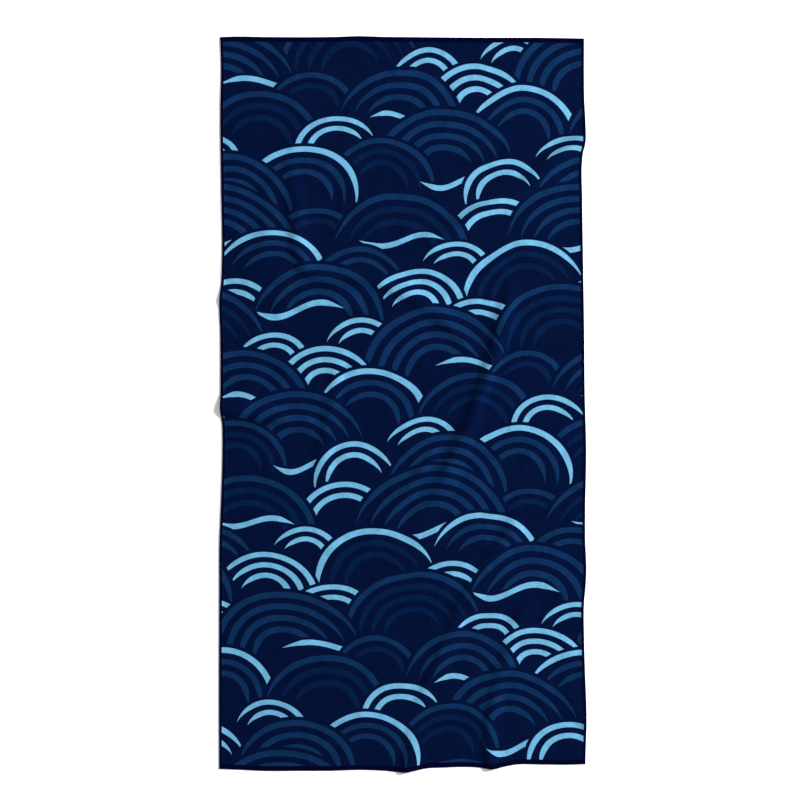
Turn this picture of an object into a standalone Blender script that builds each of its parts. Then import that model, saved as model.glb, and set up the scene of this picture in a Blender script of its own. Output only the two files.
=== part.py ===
"""Beach towel, laid out flat with its printed face up.

It is one cut length of thin, smooth microfibre with its four edges turned under and sewn, so it is one
solid with a thicker rim. It was shaken out over a flat surface and lies on it, all but a dozen low ridges.
Its edges wander by a few millimetres where a ridge has drawn the cloth in.

The length runs along Y and the width along X, and the underside touches z = 0. All sizes are in millimetres
until the mesh is made.
"""

from collections import namedtuple

import bmesh
import bpy
import numpy as np
from mathutils import Vector
from mathutils.geometry import delaunay_2d_cdt

METRES = 0.001

# The sheet: how thick its cloth, its hem and the hem's rounded rim are, how wide the hems are, and over what
# width the face comes down from a hem to the plain cloth
CLOTH = 1.3
HEM = 2.6
HEM_RIM = 2.0
SIDE_HEM_WIDTH = 5.0
END_HEM_WIDTH = 9.0
HEM_EASE = 8.0

# The mesh: how far apart its points are along a ridge, along the rim where it lies flat and where a ridge
# lifts it, and over the flat cloth, and how near they may come to each other and to the lines of the plan
CREST_STEP = 24.0
RIM_STEP = 34.0
RIM_FINE_STEP = 9.0
FLAT_STEP = 66.0
FLAT_CLEARANCE = 30.0
LEAST_GAP = 8.0
LEAST_LINE_GAP = 4.0
CURVE_STEP = 6.0

# Heights: a rim this far up counts as lifted, and a ridge below this height as none. Points of the plan that
# are nearer to each other than this are one.
LIFTED = 0.2
LEVEL = 1e-6
SAME_POINT = 1e-5

# Colour of the cloth's ground, and how matt it is
NAVY = (0.0025, 0.0080, 0.0390, 1.0)
CLOTH_ROUGHNESS = 0.88

# The corners, and the points that each side passes through between them. "along" runs up a long side or
# across an end, and "reach" is how far out the edge is there.
Corner = namedtuple("Corner", "x y")
BOTTOM_LEFT = Corner(-401.3, -802.0)
BOTTOM_RIGHT = Corner(400.5, -791.5)
TOP_LEFT = Corner(-399.3, 800.9)
TOP_RIGHT = Corner(397.6, 797.8)

Edge = namedtuple("Edge", "along reach")
LEFT_EDGE = (
    Edge(-690, -401.8),
    Edge(-415, -401.2),
    Edge(-310, -401.0),
    Edge(-205, -397.0),
    Edge(-85, -394.2),
    Edge(-48, -395.0),
    Edge(-20, -399.0),
    Edge(30, -398.7),
    Edge(163, -399.5),
    Edge(222, -401.3),
    Edge(268, -396.8),
    Edge(310, -395.5),
    Edge(490, -397.5),
    Edge(636, -399.0),
    Edge(741, -397.5),
)
RIGHT_EDGE = (
    Edge(-678, 403.0),
    Edge(-590, 399.9),
    Edge(-520, 397.9),
    Edge(-433, 398.1),
    Edge(-398, 401.4),
    Edge(-363, 402.5),
    Edge(-300, 400.2),
    Edge(-240, 400.1),
    Edge(-110, 402.4),
    Edge(23, 399.2),
    Edge(163, 397.9),
    Edge(286, 396.0),
    Edge(443, 393.8),
    Edge(528, 393.4),
    Edge(548, 395.5),
    Edge(566, 399.9),
    Edge(590, 401.0),
    Edge(671, 398.1),
)
BOTTOM_EDGE = (
    Edge(-350, -803.0),
    Edge(-306, -806.1),
    Edge(-150, -805.7),
    Edge(-96, -804.0),
    Edge(-43, -805.5),
    Edge(8, -810.1),
    Edge(30, -805.0),
    Edge(52, -799.0),
    Edge(130, -797.0),
    Edge(165, -798.6),
    Edge(194, -802.0),
    Edge(222, -797.2),
    Edge(252, -791.8),
    Edge(360, -792.2),
)
TOP_EDGE = (
    Edge(-376, 801.8),
    Edge(-288, 800.9),
    Edge(-148, 801.3),
    Edge(-96, 802.9),
    Edge(-43, 801.5),
    Edge(27, 800.7),
    Edge(150, 799.6),
    Edge(300, 799.4),
)

# The ridges. Each row is a point on a ridge's crest, with the crest's height and how far the ridge's foot
# is on the left and on the right, to someone who walks from the first row to the last.
Crest = namedtuple("Crest", "x y height left right")
RIDGES = {
    "long_middle": (
        Crest(242, 288, 0, 24, 20),
        Crest(236, 244, 3.8, 30, 26),
        Crest(227, 200, 7.4, 34, 32),
        Crest(214, 152, 8.8, 32, 34),
        Crest(193, 80, 9, 24, 30),
        Crest(167, 5, 8.4, 24, 29),
        Crest(139, -65, 8.2, 30, 30),
        Crest(105, -136, 7, 36, 28),
        Crest(77, -202, 4.8, 35, 28),
        Crest(40, -258, 2.8, 28, 26),
        Crest(5, -312, 0, 24, 22),
    ),
    "middle_spur": (
        Crest(80, -82, 0, 14, 16),
        Crest(58, -122, 3.2, 18, 20),
        Crest(27, -174, 3.4, 20, 20),
        Crest(-18, -240, 3, 22, 20),
        Crest(-56, -290, 2.4, 22, 18),
        Crest(-90, -350, 0, 20, 18),
    ),
    "upper_right": (
        Crest(417, 590, 8, 32, 30),
        Crest(399, 577, 8.2, 32, 30),
        Crest(352, 541, 9.4, 30, 29),
        Crest(303, 506, 8.8, 34, 26),
        Crest(237, 454, 8.2, 28, 27),
        Crest(179, 424, 9, 31, 23),
        Crest(111, 384, 8.6, 34, 24),
        Crest(42, 354, 6, 38, 24),
        Crest(-14, 326, 4, 36, 24),
        Crest(-68, 306, 2.6, 30, 22),
        Crest(-125, 290, 0, 26, 20),
    ),
    "left_hook": (
        Crest(-232, 575, 0, 22, 26),
        Crest(-238, 520, 2.4, 24, 30),
        Crest(-235, 454, 4.9, 27, 34),
        Crest(-231, 389, 6, 32, 29),
        Crest(-225, 323, 5.8, 34, 28),
        Crest(-208, 290, 5.2, 26, 28),
        Crest(-174, 277, 4.6, 24, 26),
        Crest(-122, 275, 4.8, 26, 24),
        Crest(-64, 263, 4.6, 38, 21),
        Crest(2, 238, 6, 44, 22),
        Crest(56, 203, 3.8, 42, 22),
        Crest(108, 163, 4.6, 30, 23),
        Crest(154, 110, 0, 22, 20),
    ),
    "left_slope": (
        Crest(-262, 440, 0, 40, 30),
        Crest(-299, 361, 3.4, 48, 42),
        Crest(-328, 295, 2.6, 40, 40),
        Crest(-338, 226, 0, 26, 30),
    ),
    "left_crease": (
        Crest(-415, 222, 2.2, 32, 18),
        Crest(-400, 224, 2.3, 32, 18),
        Crest(-332, 225, 3, 34, 17),
        Crest(-255, 220, 3.6, 35, 17),
        Crest(-178, 212, 2.9, 38, 19),
        Crest(-112, 206, 3.8, 30, 21),
        Crest(-58, 193, 0, 22, 16),
    ),
    "left_side": (
        Crest(-417, -12, 6, 40, 22),
        Crest(-399, -14, 6.2, 40, 22),
        Crest(-354, -23, 6.8, 40, 20),
        Crest(-306, -29, 8.2, 42, 22),
        Crest(-245, -42, 4, 38, 20),
        Crest(-197, -53, 3.6, 28, 24),
        Crest(-160, -76, 0, 24, 22),
    ),
    "middle_upright": (
        Crest(-142, 118, 0, 18, 22),
        Crest(-143, 60, 2.9, 18, 27),
        Crest(-155, -6, 3.7, 23, 30),
        Crest(-166, -71, 4.1, 25, 34),
        Crest(-173, -137, 2.6, 22, 31),
        Crest(-186, -200, 0, 22, 26),
    ),
    "long_lower": (
        Crest(262, -222, 0, 24, 22),
        Crest(241, -265, 4.4, 40, 22),
        Crest(184, -350, 2.8, 38, 18),
        Crest(144, -413, 3.4, 46, 19),
        Crest(108, -490, 3.8, 44, 19),
        Crest(78, -564, 4.4, 48, 18),
        Crest(49, -629, 3.2, 46, 17),
        Crest(24, -697, 1.8, 40, 18),
        Crest(15, -752, 3.2, 44, 18),
        Crest(10, -800, 6.4, 38, 23),
        Crest(6, -826, 8, 34, 26),
    ),
    "lower_right": (
        Crest(280, -420, 0, 24, 20),
        Crest(263, -457, 3.1, 44, 22),
        Crest(240, -509, 2.9, 34, 25),
        Crest(220, -575, 4.2, 26, 25),
        Crest(199, -652, 4.2, 28, 22),
        Crest(189, -717, 5.1, 31, 21),
        Crest(190, -766, 5.8, 34, 21),
        Crest(195, -800, 6.8, 34, 24),
        Crest(197, -826, 7.5, 34, 25),
    ),
    "right_notch": (
        Crest(418, -362, 2.4, 26, 22),
        Crest(400, -365, 2.4, 26, 22),
        Crest(340, -398, 2, 26, 24),
        Crest(280, -430, 0, 22, 22),
    ),
    "right_low": (
        Crest(362, -622, 0, 22, 18),
        Crest(376, -666, 1.3, 26, 18),
        Crest(400, -704, 2.4, 28, 22),
        Crest(418, -722, 2.4, 28, 22),
    ),
}

# Where a ridge's cross-section has its points, as parts of the way from the crest to the foot, and how
# sharply two ridges that meet are blended: a higher power lets the taller one have its own way more.
SECTION = (-1.0, -0.5, 0.0, 0.5, 1.0)
BLEND_POWER = 3.0


def smooth(knots, values, at):
    """Reads the smooth curve through the values at the knots, one value or one row of values for each."""
    slopes = np.gradient(values, knots, axis=0)
    low = np.clip(np.searchsorted(knots, at) - 1, 0, len(knots) - 2)
    span = knots[low + 1] - knots[low]
    t = (at - knots[low]) / span
    if values.ndim == 2:
        span, t = span[:, None], t[:, None]
    rise = 3 * t**2 - 2 * t**3
    leave = (t**3 - 2 * t**2 + t) * span
    arrive = (t**3 - t**2) * span
    return values[low] * (1 - rise) + values[low + 1] * rise + slopes[low] * leave + slopes[low + 1] * arrive


def side_line(start, rows, end):
    """One side as knots and reaches, from corner to corner."""
    table = np.array([start, *rows, end], float)
    return table[:, 0], table[:, 1]


LEFT = side_line(BOTTOM_LEFT[::-1], LEFT_EDGE, TOP_LEFT[::-1])
RIGHT = side_line(BOTTOM_RIGHT[::-1], RIGHT_EDGE, TOP_RIGHT[::-1])
BOTTOM = side_line(BOTTOM_LEFT, BOTTOM_EDGE, BOTTOM_RIGHT)
TOP = side_line(TOP_LEFT, TOP_EDGE, TOP_RIGHT)


def edge_distances(points):
    """How far each point is inside the nearer long side, and inside the nearer end."""
    x, y = points[:, 0], points[:, 1]
    from_side = np.minimum(x - smooth(*LEFT, y), smooth(*RIGHT, y) - x)
    from_end = np.minimum(y - smooth(*BOTTOM, x), smooth(*TOP, x) - y)
    return from_side, from_end


def crest_line(rows):
    """A ridge's table as a smooth line with a row every few millimetres."""
    table = np.array(rows, float)
    steps = np.linalg.norm(np.diff(table[:, :2], axis=0), axis=1)
    knots = np.concatenate([[0.0], np.cumsum(steps)])
    at = np.linspace(0.0, knots[-1], int(knots[-1] / CURVE_STEP) + 2)
    line = smooth(knots, table, at)
    line[:, 2] = np.maximum(line[:, 2], 0.0)
    return line


CREST_LINES = {name: crest_line(rows) for name, rows in RIDGES.items()}


def nearest_stretch(points, starts, ends):
    """For each point, the nearest of the stretches, the part of the way along it, and how far off it is."""
    run = ends - starts
    away = points[:, None, :] - starts
    part = np.clip((away * run).sum(2) / (run**2).sum(1), 0.0, 1.0)
    gap = np.linalg.norm(away - part[:, :, None] * run, axis=2)
    nearest = gap.argmin(axis=1)
    rows = np.arange(len(points))
    return nearest, part[rows, nearest], gap[rows, nearest]


def cross(a, b):
    """The cross product of flat vectors: above 0 where b points to the left of a."""
    return a[..., 0] * b[..., 1] - a[..., 1] * b[..., 0]


def ridge_height(line, points):
    """A ridge's height over each point: a soft rise from the foot on either side to the crest."""
    starts, ends = line[:-1, :2], line[1:, :2]
    nearest, part, gap = nearest_stretch(points, starts, ends)
    on_left = cross((ends - starts)[nearest], points - starts[nearest]) > 0
    height, left, right = (line[nearest, 2:] * (1 - part[:, None]) + line[nearest + 1, 2:] * part[:, None]).T
    foot = np.where(on_left, left, right)
    return height * np.cos(np.pi / 2 * np.minimum(gap / foot, 1.0)) ** 2


def lift(points):
    """How far the underside is off the surface: exactly 0 wherever no ridge reaches."""
    heights = np.stack([ridge_height(line, points) for line in CREST_LINES.values()])
    heights[heights < LEVEL] = 0.0
    return (heights**BLEND_POWER).sum(axis=0) ** (1 / BLEND_POWER)


def thickness(points):
    """One layer of cloth inside, the turned layers in the hem, and a rounded rim."""
    from_side, from_end = edge_distances(points)
    in_side_hem = 1 - (from_side - SIDE_HEM_WIDTH) / HEM_EASE
    in_end_hem = 1 - (from_end - END_HEM_WIDTH) / HEM_EASE
    hem = np.clip(np.maximum(in_side_hem, in_end_hem), 0.0, 1.0)
    rim = HEM_RIM + np.maximum(np.minimum(from_side, from_end), 0.0)
    return np.minimum(CLOTH + (HEM - CLOTH) * hem, rim)


def side_points(line, inset, corner_gap, upright):
    """Points along one side: close together where the rim is lifted, and wide apart where it lies flat."""
    at = np.arange(line[0][0] + corner_gap, line[0][-1] - corner_gap, RIM_FINE_STEP)
    points = np.stack([at, smooth(*line, at) + inset], axis=1)
    if upright:
        points = points[:, ::-1]
    raised = lift(points) > LIFTED
    raised[1:-1] |= raised[2:] | raised[:-2]
    kept = [0]
    for number, here in enumerate(at):
        if raised[number] or here - at[kept[-1]] >= RIM_STEP:
            kept.append(number)
    return points[sorted(set(kept))]


def ring(side_inset, end_inset):
    """The towel's outline, drawn in by these amounts, as one closed loop that runs anticlockwise."""
    corner_gap = RIM_FINE_STEP + max(side_inset, end_inset)
    return np.concatenate(
        [
            [(BOTTOM_LEFT.x + side_inset, BOTTOM_LEFT.y + end_inset)],
            side_points(BOTTOM, end_inset, corner_gap, upright=False),
            [(BOTTOM_RIGHT.x - side_inset, BOTTOM_RIGHT.y + end_inset)],
            side_points(RIGHT, -side_inset, corner_gap, upright=True),
            [(TOP_RIGHT.x - side_inset, TOP_RIGHT.y - end_inset)],
            side_points(TOP, -end_inset, corner_gap, upright=False)[::-1],
            [(TOP_LEFT.x + side_inset, TOP_LEFT.y - end_inset)],
            side_points(LEFT, side_inset, corner_gap, upright=True)[::-1],
        ]
    )


def crosses(a, b, starts, ends):
    """True if the stretch from a to b crosses one of the others."""
    apart = cross(ends - starts, a - starts) * cross(ends - starts, b - starts) < 0
    split = cross(b - a, starts - a) * cross(b - a, ends - a) < 0
    return bool((apart & split).any())


class Plan:
    """The flat plan of the mesh: its points, and the lines between them that faces may not cross."""

    def __init__(self):
        self.points = []
        self.lines = []

    def add_ring(self, loop):
        """Adds a closed loop of points, with the lines that join them."""
        first = len(self.points)
        self.points.extend(map(tuple, loop))
        count = len(loop)
        self.lines.extend((first + i, first + (i + 1) % count) for i in range(count))

    def add_row(self, row):
        """Adds a line of points, without those too near to other points, to lines or to the rim."""
        others = np.array(self.points)
        starts, ends = others[np.array(self.lines)].transpose(1, 0, 2)
        from_side, from_end = edge_distances(row)
        inside = np.minimum(from_side - SIDE_HEM_WIDTH, from_end - END_HEM_WIDTH) > HEM_EASE + LEAST_GAP
        clear = inside & (np.linalg.norm(row[:, None] - others, axis=2).min(axis=1) > LEAST_GAP)
        clear &= nearest_stretch(row, starts, ends)[2] > LEAST_LINE_GAP
        before = None
        for point, is_clear in zip(row, clear):
            if not is_clear:
                before = None
                continue
            here = len(self.points)
            self.points.append(tuple(point))
            if before is not None:
                last = np.array(self.points[before])
                near = nearest_stretch(others, last[None], point[None])[2] < LEAST_LINE_GAP
                if not near.any() and not crosses(last, point, starts, ends):
                    self.lines.append((before, here))
            before = here


def section_rows(line):
    """The rows of points that run along a ridge, the crest first."""
    steps = np.linalg.norm(np.diff(line[:, :2], axis=0), axis=1)
    run = np.concatenate([[0.0], np.cumsum(steps)])
    at = np.linspace(0.0, run[-1], max(int(run[-1] / CREST_STEP), 2) + 1)
    here = np.stack([np.interp(at, run, column) for column in line.T], axis=1)
    ahead = np.gradient(here[:, :2], axis=0)
    to_left = np.stack([-ahead[:, 1], ahead[:, 0]], axis=1)
    to_left /= np.linalg.norm(to_left, axis=1)[:, None]
    for part in sorted(SECTION, key=abs):
        reach = here[:, 3] * max(part, 0.0) + here[:, 4] * min(part, 0.0)
        yield here[:, :2] + to_left * reach[:, None]


def flat_grid():
    """Staggered rows of points for the cloth that lies flat."""
    rows = []
    for number, y in enumerate(np.arange(BOTTOM_LEFT.y, TOP_LEFT.y, FLAT_STEP * np.sqrt(3) / 2)):
        across = np.arange(BOTTOM_LEFT.x + FLAT_STEP / 2 * (number % 2), BOTTOM_RIGHT.x, FLAT_STEP)
        rows.append(np.stack([across, np.full(len(across), y)], axis=1))
    return np.concatenate(rows)


def make_plan():
    """Lays out all points of the mesh, seen from above."""
    plan = Plan()
    plan.add_ring(ring(0.0, 0.0))
    plan.add_ring(ring(SIDE_HEM_WIDTH, END_HEM_WIDTH))
    plan.add_ring(ring(SIDE_HEM_WIDTH + HEM_EASE, END_HEM_WIDTH + HEM_EASE))
    for line in CREST_LINES.values():
        for row in section_rows(line):
            plan.add_row(row)
    grid = flat_grid()
    from_side, from_end = edge_distances(grid)
    inside = np.minimum(from_side, from_end) > END_HEM_WIDTH + HEM_EASE + LEAST_GAP
    grid = grid[inside]
    taken = np.array(plan.points)
    clear = np.linalg.norm(grid[:, None] - taken, axis=2).min(axis=1) > FLAT_CLEARANCE
    plan.points.extend(map(tuple, grid[clear]))
    return plan


def make_sheet(name):
    """Makes the sheet: its underside from the plan, raised over the ridges, and its face above that."""
    plan = make_plan()
    flat = [Vector(point) for point in plan.points]
    within_outline = 1
    corners, _, triangles, *_ = delaunay_2d_cdt(flat, plan.lines, [], within_outline, SAME_POINT)
    points = np.array([tuple(corner) for corner in corners])
    middle = (points.max(axis=0) + points.min(axis=0)) / 2
    under = lift(points)
    placed = (points - middle) * METRES

    mesh = bpy.data.meshes.new(name)
    sheet = bmesh.new()
    rise = sheet.verts.layers.float.new("rise")
    verts = []
    for (x, y), z, layers in zip(placed, under * METRES, thickness(points) * METRES):
        vert = sheet.verts.new((x, y, z))
        vert[rise] = layers
        verts.append(vert)
    faces = [sheet.faces.new([verts[i] for i in triangle]) for triangle in triangles]
    extruded = bmesh.ops.extrude_face_region(sheet, geom=faces, use_keep_orig=True)["geom"]
    for item in extruded:
        if isinstance(item, bmesh.types.BMVert):
            item.co.z += item[rise]
    sheet.verts.layers.float.remove(rise)
    bmesh.ops.recalc_face_normals(sheet, faces=sheet.faces)
    sheet.to_mesh(mesh)
    sheet.free()
    towel = bpy.data.objects.new(name, mesh)
    bpy.context.scene.collection.objects.link(towel)
    return towel


def make_material(name, colour, roughness):
    """A plain matt material."""
    material = bpy.data.materials.new(name)
    material.use_nodes = True
    shader = material.node_tree.nodes["Principled BSDF"]
    shader.inputs["Base Color"].default_value = colour
    shader.inputs["Roughness"].default_value = roughness
    shader.inputs["Metallic"].default_value = 0.0
    return material


def main():
    """Clears the scene and makes the towel."""
    for thing in list(bpy.data.objects):
        bpy.data.objects.remove(thing)
    towel = make_sheet("towel_cloth")
    towel.data.materials.append(make_material("microfibre", NAVY, CLOTH_ROUGHNESS))


main()
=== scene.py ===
# %% [markdown]
# # A printed beach towel, laid out flat
# This is a lesson in building one soft thing well. A beach towel is a single cut of thin, smooth microfibre,
# printed on its face, with its four edges turned and sewn. It was shaken out over a flat surface, so it lies
# on it in all but a dozen low ridges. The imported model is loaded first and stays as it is: it gives the
# towel's size and place. Everything after that is what a camera would see.

from collections import namedtuple

import bpy
import numpy as np
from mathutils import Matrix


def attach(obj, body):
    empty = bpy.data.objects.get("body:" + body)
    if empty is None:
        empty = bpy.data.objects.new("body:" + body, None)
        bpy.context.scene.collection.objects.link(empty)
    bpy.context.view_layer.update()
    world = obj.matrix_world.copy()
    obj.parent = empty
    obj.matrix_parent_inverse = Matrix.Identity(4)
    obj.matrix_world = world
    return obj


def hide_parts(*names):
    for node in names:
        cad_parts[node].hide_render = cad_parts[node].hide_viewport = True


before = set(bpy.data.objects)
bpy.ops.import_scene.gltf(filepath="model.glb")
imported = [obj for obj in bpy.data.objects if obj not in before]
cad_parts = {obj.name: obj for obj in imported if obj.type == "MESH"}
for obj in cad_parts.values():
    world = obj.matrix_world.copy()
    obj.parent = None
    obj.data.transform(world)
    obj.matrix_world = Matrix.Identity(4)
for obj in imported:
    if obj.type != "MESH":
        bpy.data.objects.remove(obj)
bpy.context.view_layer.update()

# %% [markdown]
# ## The towel's outline
# The cut is a plain rectangle, but where a ridge runs out over an edge it draws the cloth in, and where the
# edge is slack it swells out. A cloth simulation would give some such outline, though not this one. So each
# side is a short table of places and how far out the edge is there, and a smooth curve runs through them.

# %% The four sides
Corner = namedtuple("Corner", "x y")
Edge = namedtuple("Edge", "along reach")

BOTTOM_LEFT, BOTTOM_RIGHT = Corner(-401.3, -802.0), Corner(400.5, -791.5)
TOP_LEFT, TOP_RIGHT = Corner(-399.3, 800.9), Corner(397.6, 797.8)
LEFT_EDGE = (
    Edge(-690, -401.8),
    Edge(-415, -401.2),
    Edge(-310, -401.0),
    Edge(-205, -397.0),
    Edge(-85, -394.2),
    Edge(-48, -395.0),
    Edge(-20, -399.0),
    Edge(30, -398.7),
    Edge(163, -399.5),
    Edge(222, -401.3),
    Edge(268, -396.8),
    Edge(310, -395.5),
    Edge(490, -397.5),
    Edge(636, -399.0),
    Edge(741, -397.5),
)
RIGHT_EDGE = (
    Edge(-678, 403.0),
    Edge(-590, 399.9),
    Edge(-520, 397.9),
    Edge(-433, 398.1),
    Edge(-398, 401.4),
    Edge(-363, 402.5),
    Edge(-300, 400.2),
    Edge(-240, 400.1),
    Edge(-110, 402.4),
    Edge(23, 399.2),
    Edge(163, 397.9),
    Edge(286, 396.0),
    Edge(443, 393.8),
    Edge(528, 393.4),
    Edge(548, 395.5),
    Edge(566, 399.9),
    Edge(590, 401.0),
    Edge(671, 398.1),
)
BOTTOM_EDGE = (
    Edge(-350, -804.0),
    Edge(-306, -806.1),
    Edge(-230, -806.1),
    Edge(-150, -805.7),
    Edge(-96, -804.0),
    Edge(-43, -805.5),
    Edge(7, -808.9),
    Edge(32, -804.6),
    Edge(58, -800.2),
    Edge(90, -798.9),
    Edge(130, -797.5),
    Edge(165, -798.6),
    Edge(194, -802.0),
    Edge(222, -797.2),
    Edge(252, -792.0),
    Edge(295, -792.0),
    Edge(360, -792.6),
)
TOP_EDGE = (
    Edge(-376, 801.8),
    Edge(-288, 800.9),
    Edge(-148, 801.3),
    Edge(-96, 802.9),
    Edge(-43, 801.5),
    Edge(27, 800.7),
    Edge(150, 799.6),
    Edge(300, 799.4),
)
print("places charted on the sides:", len(LEFT_EDGE + RIGHT_EDGE + BOTTOM_EDGE + TOP_EDGE))

# %% A smooth line along each side
def smooth(knots, values, at):
    """Reads the smooth curve through the values at the knots, one value or one row of values for each."""
    slopes = np.gradient(values, knots, axis=0)
    low = np.clip(np.searchsorted(knots, at) - 1, 0, len(knots) - 2)
    span = knots[low + 1] - knots[low]
    t = (at - knots[low]) / span
    if values.ndim == 2:
        span, t = span[:, None], t[:, None]
    rise = 3 * t**2 - 2 * t**3
    leave = (t**3 - 2 * t**2 + t) * span
    arrive = (t**3 - t**2) * span
    return values[low] * (1 - rise) + values[low + 1] * rise + slopes[low] * leave + slopes[low + 1] * arrive


def side_line(start, rows, end):
    """One side as knots and reaches, from corner to corner."""
    table = np.array([start, *rows, end], float)
    return table[:, 0], table[:, 1]


LEFT = side_line(BOTTOM_LEFT[::-1], LEFT_EDGE, TOP_LEFT[::-1])
RIGHT = side_line(BOTTOM_RIGHT[::-1], RIGHT_EDGE, TOP_RIGHT[::-1])
BOTTOM = side_line(BOTTOM_LEFT, BOTTOM_EDGE, BOTTOM_RIGHT)
TOP = side_line(TOP_LEFT, TOP_EDGE, TOP_RIGHT)
for name, (_, reach) in (("left", LEFT), ("right", RIGHT), ("bottom", BOTTOM), ("top", TOP)):
    print(name, "edge, mm from the middle:", reach.min(), "to", reach.max())

# %% [markdown]
# ## The ridges
# A ridge is a line of slack cloth that stands off the floor. Seen from above it is only light and shade, so
# what matters is its crest, its height and how steep each side is. Each ridge is a table that follows its
# crest from end to end. The foot on either side is given on its own, because a real fold leans: one side is
# short and steep and the other long and soft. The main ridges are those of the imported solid. A few fine
# creases come after them, in the same way.

# %% The ridges and creases
Crest = namedtuple("Crest", "x y height left right")
RIDGES = {
    "long_middle": (
        Crest(242, 288, 0, 24, 20),
        Crest(236, 244, 3.8, 30, 26),
        Crest(227, 200, 7.4, 34, 32),
        Crest(214, 152, 8.8, 32, 34),
        Crest(193, 80, 9, 24, 30),
        Crest(167, 5, 8.4, 24, 29),
        Crest(139, -65, 8.2, 30, 30),
        Crest(105, -136, 7, 36, 28),
        Crest(77, -202, 4.8, 35, 28),
        Crest(40, -258, 2.8, 28, 26),
        Crest(5, -312, 0, 24, 22),
    ),
    "middle_spur": (
        Crest(80, -82, 0, 14, 16),
        Crest(58, -122, 3.2, 18, 20),
        Crest(27, -174, 3.4, 20, 20),
        Crest(-18, -240, 3, 22, 20),
        Crest(-56, -290, 2.4, 22, 18),
        Crest(-90, -350, 0, 20, 18),
    ),
    "upper_right": (
        Crest(417, 590, 8, 32, 30),
        Crest(399, 577, 8.2, 32, 30),
        Crest(352, 541, 9.4, 30, 29),
        Crest(303, 506, 8.8, 34, 26),
        Crest(237, 454, 8.2, 28, 27),
        Crest(179, 424, 9, 31, 23),
        Crest(111, 384, 8.6, 34, 24),
        Crest(42, 354, 6, 38, 24),
        Crest(-14, 326, 4, 36, 24),
        Crest(-68, 306, 2.6, 30, 22),
        Crest(-125, 290, 0, 26, 20),
    ),
    "left_hook": (
        Crest(-232, 575, 0, 22, 26),
        Crest(-238, 520, 2.4, 24, 30),
        Crest(-235, 454, 4.9, 27, 34),
        Crest(-231, 389, 6, 32, 29),
        Crest(-225, 323, 5.8, 34, 28),
        Crest(-208, 290, 5.2, 26, 28),
        Crest(-174, 277, 4.6, 24, 26),
        Crest(-122, 275, 4.8, 26, 24),
        Crest(-64, 263, 4.6, 38, 21),
        Crest(2, 238, 6, 44, 22),
        Crest(56, 203, 3.8, 42, 22),
        Crest(108, 163, 4.6, 30, 23),
        Crest(154, 110, 0, 22, 20),
    ),
    "left_slope": (
        Crest(-262, 440, 0, 40, 30),
        Crest(-299, 361, 3.4, 48, 42),
        Crest(-328, 295, 2.6, 40, 40),
        Crest(-338, 226, 0, 26, 30),
    ),
    "left_crease": (
        Crest(-415, 222, 2.2, 32, 18),
        Crest(-400, 224, 2.3, 32, 18),
        Crest(-332, 225, 3, 34, 17),
        Crest(-255, 220, 3.6, 35, 17),
        Crest(-178, 212, 2.9, 38, 19),
        Crest(-112, 206, 3.8, 30, 21),
        Crest(-58, 193, 0, 22, 16),
    ),
    "left_side": (
        Crest(-417, -12, 6, 40, 22),
        Crest(-399, -14, 6.2, 40, 22),
        Crest(-354, -23, 6.8, 40, 20),
        Crest(-306, -29, 8.2, 42, 22),
        Crest(-245, -42, 4, 38, 20),
        Crest(-197, -53, 3.6, 28, 24),
        Crest(-160, -76, 0, 24, 22),
    ),
    "middle_upright": (
        Crest(-142, 118, 0, 18, 22),
        Crest(-143, 60, 2.9, 18, 27),
        Crest(-155, -6, 3.7, 23, 30),
        Crest(-166, -71, 4.1, 25, 34),
        Crest(-173, -137, 2.6, 22, 31),
        Crest(-186, -200, 0, 22, 26),
    ),
    "long_lower": (
        Crest(262, -222, 0, 24, 22),
        Crest(241, -265, 4.4, 40, 22),
        Crest(184, -350, 2.8, 38, 18),
        Crest(144, -413, 3.4, 46, 19),
        Crest(108, -490, 3.8, 44, 19),
        Crest(78, -564, 4.4, 48, 18),
        Crest(49, -629, 3.2, 46, 17),
        Crest(24, -697, 1.8, 40, 18),
        Crest(15, -752, 3.2, 44, 18),
        Crest(10, -800, 6.4, 38, 23),
        Crest(6, -826, 8, 34, 26),
    ),
    "lower_right": (
        Crest(280, -420, 0, 24, 20),
        Crest(263, -457, 3.1, 44, 22),
        Crest(240, -509, 2.9, 34, 25),
        Crest(220, -575, 4.2, 26, 25),
        Crest(199, -652, 4.2, 28, 22),
        Crest(189, -717, 5.1, 31, 21),
        Crest(190, -766, 5.8, 34, 21),
        Crest(195, -800, 6.8, 34, 24),
        Crest(197, -826, 7.5, 34, 25),
    ),
    "right_notch": (
        Crest(418, -362, 2.4, 26, 22),
        Crest(400, -365, 2.4, 26, 22),
        Crest(340, -398, 2, 26, 24),
        Crest(280, -430, 0, 22, 22),
    ),
    "right_low": (
        Crest(362, -622, 0, 22, 18),
        Crest(376, -666, 1.3, 26, 18),
        Crest(400, -704, 2.4, 28, 22),
        Crest(418, -722, 2.4, 28, 22),
    ),
}
CREASES = {
    "beside_upper_right": (
        Crest(62, 314, 0, 18, 12),
        Crest(104, 331, 2.2, 24, 13),
        Crest(168, 363, 2.2, 24, 13),
        Crest(214, 392, 0, 18, 12),
    ),
    "beside_hook": (
        Crest(-310, 436, 0, 20, 12),
        Crest(-288, 452, 2.2, 26, 13),
        Crest(-262, 460, 2.4, 26, 13),
        Crest(-240, 462, 0, 20, 12),
    ),
    "above_long_lower": (
        Crest(318, -186, 0, 15, 15),
        Crest(290, -190, 1.8, 16, 16),
        Crest(262, -200, 2.2, 16, 16),
        Crest(246, -232, 2, 16, 16),
        Crest(238, -262, 0, 15, 15),
    ),
    "above_bottom": (
        Crest(40, -768, 0, 18, 12),
        Crest(80, -762, 1, 22, 12),
        Crest(130, -757, 1.3, 22, 12),
        Crest(176, -752, 0, 18, 12),
    ),
}
tallest = max(row.height for rows in RIDGES.values() for row in rows)
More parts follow.
